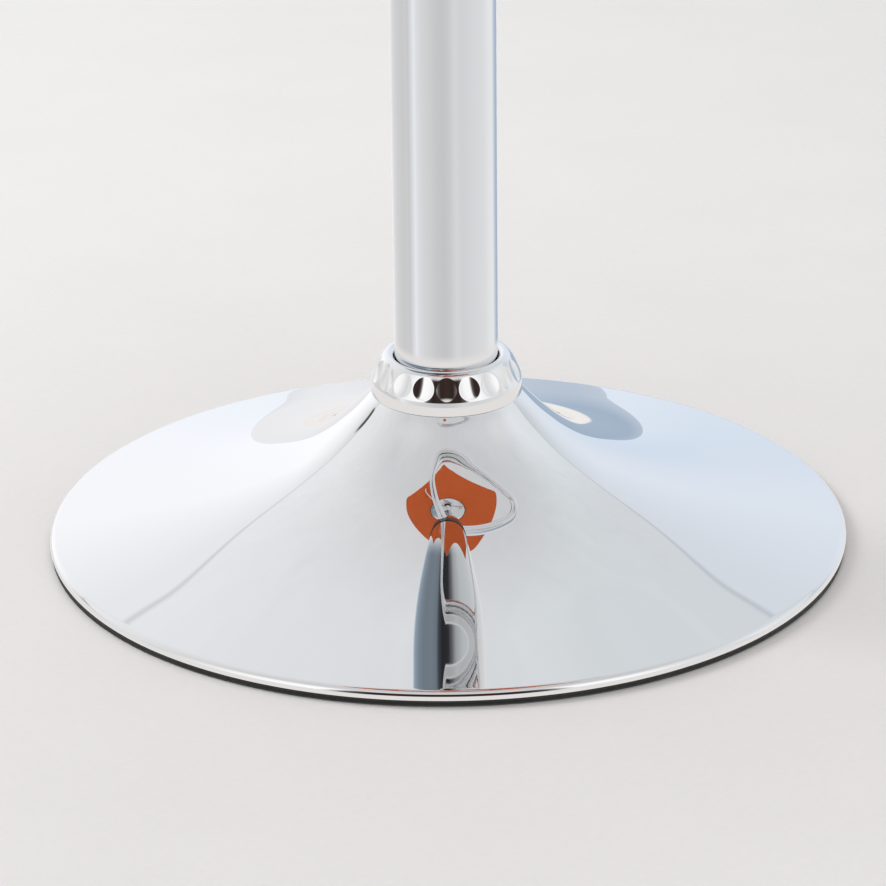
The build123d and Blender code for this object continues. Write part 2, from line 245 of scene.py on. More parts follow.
world = bpy.data.worlds.new("studio")
scene.world = world
world.use_nodes = True
wt = world.node_tree
wt.nodes.clear()
g = Graph(wt)
out = wt.nodes.new("ShaderNodeOutputWorld")
tc = wt.nodes.new("ShaderNodeTexCoord")
vr = wt.nodes.new("ShaderNodeVectorRotate")
vr.rotation_type = "Z_AXIS"
vr.inputs["Angle"].default_value = -TURN
g.put(vr.inputs["Vector"], tc.outputs["Generated"])
sep = wt.nodes.new("ShaderNodeSeparateXYZ")
wt.links.new(vr.outputs[0], sep.inputs[0])
X, Y, Z = sep.outputs
az = g.math("MULTIPLY", g.math("ARCTAN2", Y, X), 180 / math.pi)
az01 = g.math("DIVIDE", g.math("ADD", az, 180.0), 360.0)
el = g.math("MULTIPLY", g.math("ARCSINE", Z), 180 / math.pi)

# overhead cloth
c35 = az_ramp(g, az01, [(-170, (219, 219, 217)), (-120, (224, 224, 224)), (-60, (224, 224, 226)), (-20, (224, 224, 226)), (10, (228, 230, 234)),
                        (35, (219, 224, 228)), (62, (208, 212, 217)), (85, (207, 212, 217)), (105, (229, 230, 233)), (140, (231, 232, 234)), (165, (222, 224, 225))])
c50 = az_ramp(g, az01, [(-175, (203, 204, 206)), (-150, (222, 222, 224)), (-120, (228, 228, 229)), (-60, (226, 226, 228)), (-30, (212, 212, 212)), (10, (202, 206, 209)),
                        (40, (207, 212, 215)), (75, (209, 214, 217)), (105, (220, 221, 224)), (140, (222, 223, 224)), (165, (213, 214, 216))])
c65 = az_ramp(g, az01, [(-170, (203, 205, 207)), (-100, (200, 200, 202)), (-20, (196, 198, 202)), (20, (197, 199, 202)), (60, (200, 201, 204)),
                        (110, (210, 210, 212)), (140, (211, 211, 213)), (170, (205, 206, 208))])
zen = seen(199, 198, 199)
ceil = g.mix(g.lerp(el, 35, 50, 0, 1), c35, c50)
ceil = g.mix(g.lerp(el, 50, 65, 0, 1), ceil, c65)
ceil = g.mix(g.lerp(el, 65, 82, 0, 1), ceil, zen)
# faint creases in the cloth
comb = wt.nodes.new("ShaderNodeCombineXYZ")
inv = g.math("DIVIDE", 1.0, g.math("MAXIMUM", Z, 0.15))
wt.links.new(g.math("MULTIPLY", X, inv), comb.inputs[0])
wt.links.new(g.math("MULTIPLY", Y, inv), comb.inputs[1])
crease = g.noise(g.scale(comb.outputs[0], (3.2, 1.1, 1.0)), 3.5, 4.0, 0.55, 1.2)
ceil = g.mix(1.0, ceil, g.ramp(crease, [(0.0, (0.93, 0.93, 0.93, 1)), (0.42, (0.985, 0.985, 0.985, 1)), (0.6, (1.0, 1.0, 1.0, 1)), (1.0, (1.05, 1.05, 1.05, 1))]), "MULTIPLY")

# back wall under the seam
w20 = az_ramp(g, az01, [(-90, (240, 240, 240)), (5, (217, 217, 216)), (25, (217, 216, 216)), (38, (196, 201, 205)), (50, (214, 220, 228)), (62, (219, 226, 236)), (80, (216, 224, 234)),
                        (92, (226, 232, 240)), (103, (242, 243, 247)), (120, (249, 250, 252)), (132, (236, 237, 238)), (142, (212, 212, 210)), (160, (207, 203, 202)), (175, (216, 215, 214))])
w05 = az_ramp(g, az01, [(-90, (244, 244, 244)), (15, (224, 224, 222)), (40, (221, 222, 223)), (58, (217, 225, 233)), (78, (204, 215, 230)), (90, (220, 228, 237)),
                        (100, (240, 242, 247)), (120, (252, 252, 253)), (140, (236, 236, 236)), (165, (226, 224, 222))])
w33 = az_ramp(g, az01, [(-90, (240, 240, 240)), (5, (217, 217, 216)), (25, (217, 216, 216)), (38, (200, 205, 208)), (60, (212, 217, 225)), (80, (208, 214, 222)),
                        (100, (228, 229, 233)), (120, (230, 231, 234)), (140, (212, 212, 210)), (160, (207, 203, 202)), (175, (216, 215, 214))])
wall = g.mix(g.lerp(el, 6, 18, 0, 1), w05, w20)
wall = g.mix(g.lerp(el, 20, 33, 0, 1), wall, w33)
seam = g.math("SUBTRACT", Z, g.math("MULTIPLY", Y, 0.754))          # >0 above the seam
above = g.step(seam, -0.012, 0.012)
back = g.math("GREATER_THAN", Y, 0.0)
sky = g.mix(above, wall, ceil)
line = g.math("SUBTRACT", 1.0, g.math("DIVIDE", g.math("ABSOLUTE", g.math("ADD", seam, 0.004)), 0.010), clamp=True)
sky = g.mix(g.math("MULTIPLY", line, g.math("MULTIPLY", back, 0.30)), sky, seen(120, 122, 126))
# a small dark stand in the back left corner
dx = g.math("DIVIDE", g.math("SUBTRACT", az, 142.0), 3.6)
dz = g.math("DIVIDE", g.math("SUBTRACT", el, 23.0), 1.6)
spot = g.math("SUBTRACT", 1.25, g.math("ADD", g.math("POWER", dx, 2.0), g.math("POWER", dz, 2.0)), clamp=True)
sky = g.mix(g.math("MULTIPLY", spot, 0.9), sky, seen(40))

# camera side
front = az_ramp(g, az01, [(-178, (212, 212, 212)), (-165, (228, 228, 229)), (-150, (246, 246, 246)), (-126, (254, 254, 254)), (-119, (92, 84, 80)), (-112, (46, 38, 36)), (-90, (58, 44, 38)),
                          (-70, (48, 38, 36)), (-62, (90, 84, 80)), (-55, (250, 250, 250)), (-36, (248, 248, 248)), (-20, (226, 226, 226)), (0, (212, 214, 216)), (60, (219, 226, 236)), (120, (250, 250, 250))])
is_front = g.step(Y, 0.12, -0.02)
low = g.step(el, 55.0, 44.0)
sky = g.mix(g.math("MULTIPLY", is_front, low), sky, front)

# seen by way of a second mirror, lower and darker parts of the room come in
two = az_ramp(g, az01, [(-178, (108, 118, 127)), (-150, (110, 121, 131)), (-132, (104, 114, 123)), (-124, (62, 66, 72)), (-112, (36, 38, 42)), (-92, (44, 44, 48)), (-80, (96, 96, 98)), (-68, (150, 154, 157)), (-45, (176, 180, 182)),
                        (-15, (182, 186, 188)), (0, (188, 190, 191)), (40, (200, 201, 202)), (75, (204, 206, 208)), (92, (176, 185, 194)), (112, (166, 177, 187)), (125, (138, 152, 165)), (160, (116, 128, 139))], bounces=2)
lp = wt.nodes.new("ShaderNodeLightPath")
two = g.mix(g.step(el, 66.0, 74.0), two, seen(214, 216, 219, bounces=2))
two = g.mix(g.step(el, 43.0, 36.0), two, seen(206, 209, 213, bounces=2))
second = g.math("GREATER_THAN", lp.outputs["Glossy Depth"], 1.5)
sky = g.mix(second, sky, two)

# what falls on plain surfaces: an even pale room, a little stronger from the back left
side = g.math("MULTIPLY", g.math("ADD", g.math("MULTIPLY", X, -0.5), g.math("MULTIPLY", Y, 0.25)), 0.35)
fill = g.vmath("SCALE", (1.0, 0.995, 0.99), scale=g.math("ADD", 0.56, side))
bg_cam = wt.nodes.new("ShaderNodeBackground")
bg_sky = wt.nodes.new("ShaderNodeBackground")
bg_fill = wt.nodes.new("ShaderNodeBackground")
bg_cam.inputs[0].default_value = rgb(236, 235, 234)
wt.links.new(sky, bg_sky.inputs[0])
wt.links.new(fill, bg_fill.inputs[0])
m1 = wt.nodes.new("ShaderNodeMixShader")
m2 = wt.nodes.new("ShaderNodeMixShader")
wt.links.new(lp.outputs["Is Glossy Ray"], m1.inputs[0])
wt.links.new(bg_fill.outputs[0], m1.inputs[1])
wt.links.new(bg_sky.outputs[0], m1.inputs[2])
wt.links.new(lp.outputs["Is Camera Ray"], m2.inputs[0])
wt.links.new(m1.outputs[0], m2.inputs[1])
wt.links.new(bg_cam.outputs[0], m2.inputs[2])
wt.links.new(m2.outputs[0], out.inputs[0])


def area(name, loc, size, power, target=(0, 0, 0.2)):
    d = bpy.data.lights.new(name, "AREA")
    d.size = size
    d.energy = power
    o = bpy.data.objects.new(name, d)
    COL.objects.link(o)
    o.location = turn @ Vector(loc)
    o.rotation_euler = (turn @ Vector(target) - o.location).to_track_quat("-Z", "Y").to_euler()
    o.visible_glossy = False
    o.visible_camera = False
    return o


area("key_softbox", (-2.1, 0.7, 2.1), 1.3, 37.0)
area("top_softbox", (0.3, 0.2, 3.0), 2.4, 23.0)
area("low_fill", (0.5, -1.2, 0.12), 0.8, 5.0, target=(0, 0, 0.75))

# floor
floor_mesh = bpy.data.meshes.new("floor")
bm = bmesh.new()
bmesh.ops.create_grid(bm, x_segments=8, y_segments=8, size=40.0)
bm.to_mesh(floor_mesh)
bm.free()
floor = bpy.data.objects.new("floor", floor_mesh)
COL.objects.link(floor)
fm, g, p, oc = material("studio_floor", rgb(235, 234, 233), 0.0, 0.62)
tree = fm.node_tree
vr = tree.nodes.new("ShaderNodeVectorRotate")
vr.rotation_type = "Z_AXIS"
vr.inputs["Angle"].default_value = -TURN
g.put(vr.inputs["Vector"], oc)
sep = tree.nodes.new("ShaderNodeSeparateXYZ")
tree.links.new(vr.outputs[0], sep.inputs[0])
faz = g.math("DIVIDE", g.math("ADD", g.math("MULTIPLY", g.math("ARCTAN2", sep.outputs[1], sep.outputs[0]), 180 / math.pi), 180.0), 360.0)
blot = g.noise(oc, 9.0, 5.0, 0.6)
grit = g.noise(oc, 260.0, 3.0, 0.7)
tone = g.math("ADD", g.lerp(blot, 0.3, 0.7, -0.012, 0.012), g.lerp(grit, 0.3, 0.7, -0.012, 0.012))
fcol = g.mix(1.0, (0.80, 0.795, 0.787, 1), g.vmath("SCALE", (1, 1, 1), scale=g.math("ADD", 1.0, tone)), "MULTIPLY")
tree.links.new(fcol, p.inputs["Base Color"])
tree.links.new(g.bump(grit, 0.12, 0.0006), p.inputs["Normal"])
# Painted reflection: for glossy rays the floor glows with a ring of colours round the stool instead of its lit shading.
# The ring has painted shade towards the camera side, a painted bluish shadow at the back right and painted bright
# streaks.
painted_floor_reflection = az_ramp(g, faz, [(-179, (203, 203, 204)), (-172, (199, 199, 200)), (-165, (212, 213, 216)), (-156, (230, 231, 236)), (-149, (219, 220, 223)), (-138, (211, 212, 213)), (-122, (206, 206, 207)), (-108, (198, 199, 200)),
                               (-92, (194, 195, 197)), (-80, (199, 200, 201)), (-66, (212, 213, 214)), (-52, (207, 208, 210)), (-25, (212, 213, 215)), (5, (217, 218, 220)), (22, (225, 226, 228)), (38, (226, 227, 229)),
                               (52, (180, 192, 206)), (60, (160, 175, 192)), (76, (156, 172, 191)), (86, (186, 196, 208)), (98, (227, 227, 229)), (115, (224, 224, 226)), (130, (213, 213, 214)), (150, (205, 205, 206)), (172, (200, 200, 201))])
reach = g.math("SQRT", g.math("ADD", g.math("POWER", sep.outputs[0], 2.0), g.math("POWER", sep.outputs[1], 2.0)))
# Painted reflection: within about 0.27 m of the centre the glow is one plain pale tone.
painted_floor_reflection = g.mix(g.step(reach, 0.278, 0.262), painted_floor_reflection, seen(224, 221, 219))
em = tree.nodes.new("ShaderNodeEmission")
tree.links.new(painted_floor_reflection, em.inputs[0])
# The painted glow goes to glossy rays only; camera and diffuse rays see the lit floor.
lpf = tree.nodes.new("ShaderNodeLightPath")
mx = tree.nodes.new("ShaderNodeMixShader")
tree.links.new(lpf.outputs["Is Glossy Ray"], mx.inputs[0])
tree.links.new(p.outputs[0], mx.inputs[1])
tree.links.new(em.outputs[0], mx.inputs[2])
tree.links.new(mx.outputs[0], tree.nodes["Material Output"].inputs[0])
floor_mesh.materials.append(fm)

# ------------------------------------------------------------------ materials
MAT = {}


def chrome_like(name, level, rough, lines=0.0):
    m, g, p, oc = material(name, (level, level, level * 1.003, 1), 1.0, rough)
    cloud = g.noise(oc, 26.0, 4.0, 0.55)
    fine = g.noise(g.scale(oc, (1, 1, 0.25)), 900.0, 2.0, 0.6)
    r = g.math("ADD", g.lerp(cloud, 0.35, 0.75, rough * 0.75, rough * 1.5), g.lerp(fine, 0.62, 0.9, 0.0, 0.02))
    g.put(p.inputs["Roughness"], r)
    if lines:
        g.put(p.inputs["Normal"], g.bump(g.noise(oc, 70.0, 2.0, 0.5), lines, 0.00002))
    return m


MAT["chrome"] = chrome_like("polished_chrome", CHROME, 0.012, 0.10)
MAT["rod_chrome"] = chrome_like("hard_chrome_rod", 0.72, 0.07)


def satin_metal(name, base, rough, spin=0.0, stain=(0.8, 0.8, 0.8)):
    m, g, p, oc = material(name, base, 1.0, rough)
    c = g.noise(oc, 38.0, 5.0, 0.6)
    g.put(p.inputs["Base Color"], g.mix(g.lerp(c, 0.38, 0.72, 0.0, 1.0), base, tuple(b * s for b, s in zip(base, stain)) + (1,)))
    grain = g.noise(g.scale(oc, (1, 1, 12) if spin else (1, 1, 1)), 420.0, 3.0, 0.6)
    g.put(p.inputs["Roughness"], g.lerp(g.math("MULTIPLY_ADD", grain, 0.5, g.math("MULTIPLY", c, 0.5)), 0.3, 0.7, rough * 0.7, rough * 1.35))
    g.put(p.inputs["Normal"], g.bump(grain, 0.25, 0.00005))
    return m


MAT["inner_steel"] = satin_metal("drawn_steel", (0.42, 0.42, 0.43, 1), 0.34, 1.0, (0.72, 0.70, 0.68))
MAT["zinc"] = satin_metal("zinc_plate", (0.62, 0.64, 0.66, 1), 0.30, 0.0, (0.86, 0.88, 0.80))
MAT["brass"] = satin_metal("turned_brass", (0.72, 0.52, 0.22, 1), 0.26, 1.0, (0.86, 0.80, 0.70))

m, g, p, oc = material("cast_iron", (0.055, 0.055, 0.06, 1), 0.75, 0.62)
sand = g.noise(oc, 300.0, 5.0, 0.7)
pit = g.voronoi(oc, 240.0)
rust = g.noise(oc, 30.0, 6.0, 0.65)
g.put(p.inputs["Base Color"], g.mix(g.lerp(rust, 0.56, 0.72, 0.0, 0.5), (0.052, 0.052, 0.057, 1), (0.16, 0.07, 0.03, 1)))
g.put(p.inputs["Roughness"], g.lerp(sand, 0.3, 0.7, 0.5, 0.8))
g.put(p.inputs["Normal"], g.bump(g.math("ADD", sand, g.math("MULTIPLY", pit, 0.5)), 0.6, 0.0004))
MAT["cast_iron"] = m


def rubber(name, level, rough, scale=500.0):
    m, g, p, oc = material(name, (level, level, level, 1), 0.0, rough)
    n = g.noise(oc, scale, 4.0, 0.65)
    dust = g.noise(oc, 45.0, 5.0, 0.6)
    g.put(p.inputs["Base Color"], g.mix(g.lerp(dust, 0.5, 0.8, 0.0, 0.35), (level, level, level, 1), (level * 2.6 + 0.01,) * 3 + (1,)))
    g.put(p.inputs["Roughness"], g.lerp(n, 0.3, 0.7, rough * 0.85, min(rough * 1.2, 1)))
    g.put(p.inputs["Normal"], g.bump(n, 0.25, 0.00015))
    return m


MAT["floor_rubber"] = rubber("floor_rubber", 0.012, 0.62)
MAT["buffer_rubber"] = rubber("buffer_rubber", 0.018, 0.75, 350.0)
MAT["black_plastic"] = rubber("moulded_black_plastic", 0.010, 0.34, 800.0)
MAT["piston_plastic"] = rubber("acetal_piston", 0.55, 0.38, 700.0)

# plywood: birch face grain, with the plies showing at the edge
m, g, p, oc = material("plywood", (0.62, 0.45, 0.27, 1), 0.0, 0.55)
grainv = g.wave(g.scale(oc, (1.0, 0.08, 1.0)), 34.0, 7.0, 4.0, 1.6)
fib = g.noise(g.scale(oc, (1, 0.05, 1)), 900.0, 3.0, 0.6)
face = g.mix(grainv, (0.66, 0.47, 0.28, 1), (0.52, 0.35, 0.19, 1))
sepp = m.node_tree.nodes.new("ShaderNodeSeparateXYZ")
g.put(sepp.inputs[0], oc)
ply = g.math("GREATER_THAN", g.math("FRACT", g.math("DIVIDE", g.math("SUBTRACT", sepp.outputs[2], 0.7053), 0.0024)), 0.5)
geo = m.node_tree.nodes.new("ShaderNodeNewGeometry")
sn = m.node_tree.nodes.new("ShaderNodeSeparateXYZ")
g.put(sn.inputs[0], geo.outputs["Normal"])
edge = g.math("LESS_THAN", g.math("ABSOLUTE", sn.outputs[2]), 0.5)
layered = g.mix(ply, (0.58, 0.40, 0.23, 1), (0.36, 0.22, 0.11, 1))
g.put(p.inputs["Base Color"], g.mix(edge, g.mix(g.math("MULTIPLY", fib, 0.35), face, (0.40, 0.26, 0.13, 1)), layered))
g.put(p.inputs["Normal"], g.bump(g.math("ADD", fib, grainv), 0.25, 0.0002))
MAT["plywood"] = m

# open-cell foam
m, g, p, oc = material("foam", (0.80, 0.72, 0.48, 1), 0.0, 0.9)
cells = g.voronoi(oc, 620.0)
n = g.noise(oc, 60.0, 4.0, 0.6)
# Painted shade: the colour is darker towards the middle of each cell, in the hollows the bump makes, and lighter on the
# cell walls, on top of the foam's own mottled tone.
g.put(p.inputs["Base Color"], g.mix(g.lerp(cells, 0.0, 0.5, 0.0, 1.0), g.mix(n, (0.66, 0.56, 0.34, 1), (0.76, 0.67, 0.42, 1)), (0.86, 0.79, 0.56, 1)))
g.put(p.inputs["Normal"], g.bump(cells, 0.8, 0.0009))
MAT["foam"] = m


def leather(name, hue, valley_shade, creases=1.0):
    """Coated fabric with a pebbled grain, fine pores, soft creases, painted shade in the low points of the grain and a
    slight polish on the high spots.
    """
    m, g, p, oc = material(name, hue, 0.0, 0.44)
    warp = g.vmath("ADD", oc, g.vmath("SCALE", g.vmath("SUBTRACT", g.noise(oc, 180.0, 2.0, 0.5), (0.5, 0.5, 0.5)), scale=0.0016))
    cell = g.voronoi(warp, 760.0, "DISTANCE_TO_EDGE")
    big = g.voronoi(warp, 310.0, "DISTANCE_TO_EDGE")
    pore = g.noise(oc, 2600.0, 2.0, 0.6)
    crease = g.noise(oc, 24.0, 6.0, 0.62, 1.4)
    valley = g.lerp(cell, 0.0, 0.10, 0.0, 1.0)
    height = g.math("ADD", g.math("MULTIPLY", valley, 0.55), g.math("MULTIPLY", g.lerp(big, 0.0, 0.16, 0.0, 1.0), 0.45))
    height = g.math("ADD", height, g.math("MULTIPLY", pore, 0.18))
    patch = g.noise(oc, 7.0, 4.0, 0.55)
    # Painted shade: where the grain height is low, in the valleys between the pebbles and in the pores, the colour
    # turns to the darker shade tone.
    col = g.mix(g.lerp(height, 0.15, 1.0, 0.0, 1.0), valley_shade, hue)
    col = g.mix(g.lerp(patch, 0.35, 0.7, 0.0, 0.16), col, tuple(min(c * 0.80, 1) for c in hue[:3]) + (1,))
    g.put(p.inputs["Base Color"], col)
    g.put(p.inputs["Roughness"], g.math("ADD", g.lerp(height, 0.2, 1.0, 0.58, 0.40), g.lerp(patch, 0.3, 0.7, -0.03, 0.05)))
    nrm = g.bump(crease, 0.35 * creases, 0.0012)
    g.put(p.inputs["Normal"], g.bump(height, 0.55, 0.00022, nrm))
    p.inputs["Coat Weight"].default_value = 0.12
    p.inputs["Coat Roughness"].default_value = 0.30
    p.inputs["Specular IOR Level"].default_value = 0.45
    return m


ORANGE = (0.72, 0.122, 0.010, 1)
# The second, darker orange is the painted shade colour for the grain valleys.
ORANGE_VALLEY_SHADE = (0.46, 0.064, 0.005, 1)
MAT["orange_leather"] = leather("orange_leather", ORANGE, ORANGE_VALLEY_SHADE)
MAT["thread"] = None
m, g, p, oc = material("stitch_thread", (0.58, 0.13, 0.03, 1), 0.0, 0.55)
tw = g.wave(oc, 900.0, 2.0, 2.0, 1.0, "BANDS", "DIAGONAL")
# Painted shade: the darker bands of the twist lie where the bump is low, in the grooves between the plies.
g.put(p.inputs["Base Color"], g.mix(tw, (0.50, 0.10, 0.022, 1), (0.74, 0.20, 0.05, 1)))
g.put(p.inputs["Normal"], g.bump(tw, 0.5, 0.0002))
MAT["thread"] = m

# every CAD node that stays gets its own finish
slot_of = {q["node"]: q["material_slot"] for q in frame["record"].get("subparts", [])}
for node, o in NODES.items():
    names = [s.material.name.split(".")[0] if s.material else "" for s in o.material_slots]
    want = slot_of.get(node)
    if want is None:
        want = next((k for k in MAT for nm in names if nm and (nm == k or nm.endswith(k) or k in nm)), None)
    mat = MAT.get(want) or MAT["inner_steel"]
    if not o.material_slots:
        o.data.materials.append(mat)
    for s in o.material_slots:
        s.material = mat


# ------------------------------------------------------------------ mesh tools
def mesh_object(name, verts, faces, mat, body, sharp=None, smooth=True):
    me = bpy.data.meshes.new(name)
    me.from_pydata([tuple(v) for v in verts], [], faces)
    me.validate()
    if smooth:
        me.shade_smooth()
        if sharp:
            me.set_sharp_from_angle(angle=math.radians(sharp))
    o = bpy.data.objects.new(name, me)
    COL.objects.link(o)
    me.materials.append(mat)
    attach(o, body)
    return o


def spline(ks, t0=None, t1=None, n=10):
    """Smooth curve through points, parametrised by chord length, with given end directions; n samples a span."""
    P = np.array(ks, float)
    h = np.linalg.norm(np.diff(P, axis=0), axis=1)
    m = len(P)
    A = np.zeros((m, m))
    B = np.zeros((m, P.shape[1]))
    if t0 is None:
        A[0, 0], A[0, 1], B[0] = 2, 1, 3 * (P[1] - P[0]) / h[0]
    else:
        A[0, 0], B[0] = 1, t0
    if t1 is None:
        A[-1, -1], A[-1, -2], B[-1] = 2, 1, 3 * (P[-1] - P[-2]) / h[-1]
    else:
        A[-1, -1], B[-1] = 1, t1
    for i in range(1, m - 1):
        A[i, i - 1], A[i, i], A[i, i + 1] = h[i], 2 * (h[i - 1] + h[i]), h[i - 1]
        B[i] = 3 * (h[i] * (P[i] - P[i - 1]) / h[i - 1] + h[i - 1] * (P[i + 1] - P[i]) / h[i])
    T = np.linalg.solve(A, B)
    outp = []
    for i in range(m - 1):
        for k in range(n):
            u = k / n
            a, b, c, d = 2 * u**3 - 3 * u**2 + 1, u**3 - 2 * u**2 + u, -2 * u**3 + 3 * u**2, u**3 - u**2
            outp.append(a * P[i] + b * h[i] * T[i] + c * P[i + 1] + d * h[i] * T[i + 1])
    outp.append(P[-1])
    return outp


def down(deg):
    s = math.radians(deg)
    return np.array((math.cos(s), -math.sin(s)))


def lathe(name, profile, mat, body, segs=192, sharp=30, close=True, shape=None):
    """Solid of revolution about Z from a closed (radius, height) outline in millimetres."""
    pr = [(r / 1000.0, z / 1000.0) for r, z in profile]
    k = len(pr)
    verts, faces = [], []
    for j in range(segs):
        a = 2 * math.pi * j / segs
        c, s = math.cos(a), math.sin(a)
        for i, (r, z) in enumerate(pr):
            if shape:
                r2, z2 = shape(r, z, a, i)
            else:
                r2, z2 = r, z
            verts.append((r2 * c, r2 * s, z2))
    for j in range(segs):
        j2 = (j + 1) % segs
        for i in range(k if close else k - 1):
            i2 = (i + 1) % k
            faces.append((j * k + i, j2 * k + i, j2 * k + i2, j * k + i2))
    return mesh_object(name, verts, faces, mat, body, sharp)


def arc(cx, cz, r, a0, a1, n):
    return [(cx + r * math.cos(math.radians(a0 + (a1 - a0) * i / n)), cz + r * math.sin(math.radians(a0 + (a1 - a0) * i / n))) for i in range(n + 1)]


def sweep(name, pts, radius, mat, body, segs=32, closed=False, rad=None, sharp=None, up=None, caps=True):
    """Round tube along points (metres); rad(i) may vary the radius."""
    P = [Vector(q) for q in pts]
    n = len(P)
    verts, faces = [], []
    tang = []
    for i in range(n):
        a = P[(i - 1) % n] if closed or i else P[0]
        b = P[(i + 1) % n] if closed or i < n - 1 else P[-1]
        tang.append((b - a).normalized())
    nrm = (Vector(up) if up else Vector((0, 0, 1)))
    nrm = (nrm - tang[0] * nrm.dot(tang[0])).normalized()
    for i in range(n):
        if i:
            q = tang[i - 1].rotation_difference(tang[i])
            nrm = q @ nrm
        nrm = (nrm - tang[i] * nrm.dot(tang[i])).normalized()
        b = tang[i].cross(nrm)
        r = rad(i) if rad else radius
        for k in range(segs):
            a = 2 * math.pi * k / segs
            verts.append(P[i] + (nrm * math.cos(a) + b * math.sin(a)) * r)
    for i in range(n if closed else n - 1):
        i2 = (i + 1) % n
        for k in range(segs):
            k2 = (k + 1) % segs
            faces.append((i * segs + k, i2 * segs + k, i2 * segs + k2, i * segs + k2))
    if not closed and caps:
        faces.append(tuple(range(segs)))
        faces.append(tuple((n - 1) * segs + k for k in reversed(range(segs))))
    o = mesh_object(name, verts, faces, mat, body, sharp)
    return o


# ------------------------------------------------------------------ base dish
DISH = [
    (31.0, 81.6, 52.4), (33.0, 79.0, 50.4), (34.8, 76.95, 46.6), (36.5, 75.28, 42.8), (38.0, 73.88, 44.2), (40.0, 71.9, 45.5),
    (42.5, 69.31, 46.3), (45.0, 66.72, 45.7), (48.0, 63.72, 44.2), (52.0, 59.96, 42.3), (56.0, 56.4, 41.0),
    (70.0, 46.0, 31.5), (90.0, 35.7, 23.6), (115.0, 26.3, 18.0), (145.0, 18.0, 13.4), (170.0, 12.4, 12.1), (191.0, 8.0, 11.6),
]
DISH_T = 2.0
out_pts = [(r, z) for r, z, a in DISH]
in_pts = []
for r, z, a in DISH[:-1]:
    s = math.radians(a)
    in_pts.append((r - DISH_T * math.sin(s), z - DISH_T * math.cos(s)))
zin = 8.0 + 2.5 * math.tan(math.radians(11.6)) - DISH_T / math.cos(math.radians(11.6))
in_pts.append((188.5, zin))
outer = spline(out_pts, down(52.4), down(11.6), 14)
lip = spline([(191.0, 8.0), (193.7, 7.1), (195.0, 5.2), (194.4, 3.1)], down(11.6), np.array((-0.45, -0.89)), 12)[1:]
inner = spline(in_pts, down(52.4), down(11.6), 4)
profile = [tuple(q) for q in outer] + [tuple(q) for q in lip] + [(188.5, 3.1)] + [tuple(q) for q in reversed(inner)] + [(28.55, 81.4), (28.55, 84.0), (29.6, 84.0)]
dish = lathe("base_dish_shell", profile, MAT["chrome"], "base", segs=288, sharp=32)
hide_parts("base_dish")

# rubber ring with a moulded groove round its edge
ring_profile = [(184.5, 0.5), (185.2, 0.0), (193.4, 0.0), (194.2, 0.25), (194.4, 0.7), (194.35, 1.15), (194.0, 1.4), (193.95, 1.75), (194.25, 1.95), (194.4, 2.3),
                (194.35, 2.8), (194.0, 3.08), (188.5, 3.08), (188.5, 6.2), (186.1, 6.6), (184.5, 6.6)]
ring = lathe("rubber_floor_ring", ring_profile, MAT["floor_rubber"], "base", segs=256, sharp=50)
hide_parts("floor_ring")

# ------------------------------------------------------------------ collar with pressed dimples
DIMPLES = 19
side = spline([(36.45, 82.9), (36.2, 83.8), (35.6, 85.6), (34.6, 88.2), (33.3, 90.8), (32.0, 92.9), (31.1, 94.1)], None, None, 8)
col_profile = [(36.3, 76.0), (36.5, 76.2), (36.5, 79.0), (36.5, 82.4)] + [tuple(q) for q in side]
n_band = 4
roll = spline([(30.3, 94.85), (28.6, 95.4), (27.0, 95.3), (26.0, 94.7), (25.5, 93.8), (25.45, 92.6), (25.45, 91.5)], None, None, 4)
col_profile += [tuple(q) for q in roll] + [(27.8, 91.5), (29.6, 90.6), (31.2, 88.0), (33.0, 84.6), (34.2, 82.0), (34.8, 80.0), (35.0, 77.8), (36.1, 76.0)]


def dimple(r, z, a, i):
    zz = z * 1000
    if i < n_band or not 83.2 < zz < 94.6 or r * 1000 < 31.0:
        return r, z
    ph = (a - (TURN - math.pi / 2)) / (2 * math.pi / DIMPLES)
    ph = (ph + 0.5) % 1.0 - 0.5
    u = ph / 0.46
    v = (zz - 88.7) / 5.2
    d = u * u + v * v
    if d >= 1:
        return r, z
    depth = 1.1 * (1 - d)
    return r - depth * 0.92 / 1000, z - depth * 0.40 / 1000


dense = []
for q, w in zip(col_profile, col_profile[1:] + col_profile[:1]):
    dense.append(q)
collar = lathe("dimpled_collar", dense, MAT["chrome"], "base", segs=720, sharp=28, shape=dimple)
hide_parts("collar")

# ------------------------------------------------------------------ outer column
def column_r(z):
    return 25.0 - max(0.0, 90.0 - z) * 0.025


col_prof = [(column_r(24) - 1.5, 24.0), (column_r(24) - 0.3, 24.0), (column_r(24), 24.3), (25.0, 90.0), (25.0, 150.0), (25.0, 210.0), (25.0, 270.0), (25.0, 293.6), (24.7, 294.0), (23.5, 294.0), (23.5, 90.0)]
column = lathe("outer_column_tube", col_prof, MAT["chrome"], "base", segs=256, sharp=30)
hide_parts("outer_column")

ring_prof = [(23.5, 294.05), (25.3, 294.05), (25.75, 294.3), (25.9, 294.8), (25.9, 315.2), (25.7, 315.5), (25.7, 316.1), (25.9, 316.4), (25.9, 321.2), (25.75, 321.7), (25.2, 321.95), (23.5, 321.95)]
cring = lathe("black_column_ring", ring_prof, MAT["black_plastic"], "base", segs=160, sharp=40)
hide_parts("column_ring")

hub_prof = [(17.5, 262.0), (23.1, 262.0), (23.42, 262.3), (23.42, 322.0), (24.6, 322.0), (24.9, 322.2), (25.0, 322.6), (25.0, 352.3)] + arc(23.4, 352.4, 1.6, 0, 90, 8) + [(20.7, 354.0), (17.5, 354.0)]
hub = lathe("footrest_hub_sleeve", hub_prof, MAT["chrome"], "base", segs=192, sharp=32)
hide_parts("footrest_hub")

# footrest loop: two arms and a front bar round the column axis
LR, LC, LH = 149.0, 33.0, 63.5
delta = math.degrees(math.asin(LC / (LR - LC)))
ca = LH - delta


def fl(r, deg, z=344.0):
    t = math.radians(deg)
    return Vector((r * math.sin(t) / 1000, -r * math.cos(t) / 1000, z / 1000))


